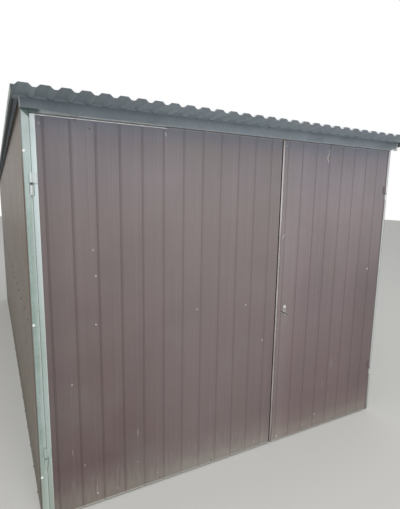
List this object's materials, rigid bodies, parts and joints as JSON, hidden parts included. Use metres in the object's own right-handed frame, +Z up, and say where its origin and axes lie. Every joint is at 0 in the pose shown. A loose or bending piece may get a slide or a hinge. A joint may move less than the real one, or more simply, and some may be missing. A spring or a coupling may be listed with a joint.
{
  "type": "metal garage",
  "caption": "Free-standing single car garage of ribbed steel sheet on a light tube frame, with unequal hinged gate leaves, a lock and a ribbed roof that falls to the rear.",
  "frame": {"origin": "on the ground, under the middle of the roof", "axes": "+X to the right seen from the gate, +Y from the gate to the rear wall, +Z up"},
  "size_m": [2.6166, 5.382, 2.1643],
  "materials": {
    "bare_galvanised": "bare galvanised",
    "corner_post": "galvanised, whitened by weather",
    "frame_tube": "galvanised tube",
    "fascia_sheet": "galvanised, dulled grey by weather",
    "leaf_frame": "galvanised tube",
    "hinge_steel": "zinc plated, rust at the welds",
    "leaf_sheet": "matt brown coating, faded",
    "verge_sheet": "galvanised, dulled dark grey by weather",
    "wall_sheet": "matt brown coating, faded",
    "lock_steel": "zinc plated, worn",
    "cylinder_nickel": "dulled nickel",
    "corner_galvanised": "bare galvanised",
    "roof_sheet": "galvanised, dulled dark grey by weather"
  },
  "bodies": {
    "garage": {"fascia_end_cap": "bare_galvanised", "front_left_post": "corner_post", "front_right_post": "corner_post", "gate_stop": "frame_tube", "header_beam": "frame_tube", "header_fascia": "fascia_sheet", "left_base_rail": "frame_tube", "left_mid_rail": "frame_tube", "left_post_hinges": "hinge_steel", "left_top_rail": "frame_tube", "left_verge_flashing": "verge_sheet", "left_wall_sheet": "wall_sheet", "left_wall_stud_1": "corner_post", "left_wall_stud_2": "corner_post", "left_wall_stud_3": "corner_post", "rear_base_rail": "frame_tube", "rear_left_corner_cap": "corner_galvanised", "rear_left_post": "corner_post", "rear_mid_rail": "frame_tube", "rear_right_corner_cap": "corner_galvanised", "rear_right_post": "corner_post", "rear_top_rail": "frame_tube", "rear_wall_sheet": "wall_sheet", "right_base_rail": "frame_tube", "right_mid_rail": "frame_tube", "right_post_hinges": "hinge_steel", "right_top_rail": "frame_tube", "right_verge_flashing": "verge_sheet", "right_wall_sheet": "wall_sheet", "right_wall_stud_1": "corner_post", "right_wall_stud_2": "corner_post", "right_wall_stud_3": "corner_post", "roof_purlin_1": "frame_tube", "roof_purlin_2": "frame_tube", "roof_purlin_3": "frame_tube", "roof_sheet_left": "roof_sheet", "roof_sheet_middle": "roof_sheet", "roof_sheet_right": "roof_sheet"},
    "left_leaf": {"left_leaf_hinge_stile": "leaf_frame", "left_leaf_meeting_stile": "leaf_frame", "left_leaf_rails": "leaf_frame", "left_leaf_sheet": "leaf_sheet", "left_leaf_hinges": "hinge_steel"},
    "right_leaf": {"right_leaf_hinge_stile": "leaf_frame", "right_leaf_meeting_stile": "leaf_frame", "right_leaf_rails": "leaf_frame", "right_leaf_sheet": "leaf_sheet", "right_leaf_hinges": "hinge_steel", "lock_escutcheon": "lock_steel", "lock_cylinder": "cylinder_nickel", "lock_case": "lock_steel", "upper_latch": "lock_steel"}
  },
  "joints": [
    {"name": "left_leaf_swing", "type": "hinge", "parent": "garage", "child": "left_leaf", "pos_m": [-1.235, -2.512, 0.372], "axis": [0, 0, -1], "range_deg": [0, 165]},
    {"name": "right_leaf_swing", "type": "hinge", "parent": "garage", "child": "right_leaf", "pos_m": [1.235, -2.512, 0.372], "axis": [0, 0, 1], "range_deg": [0, 165]}
  ]
}
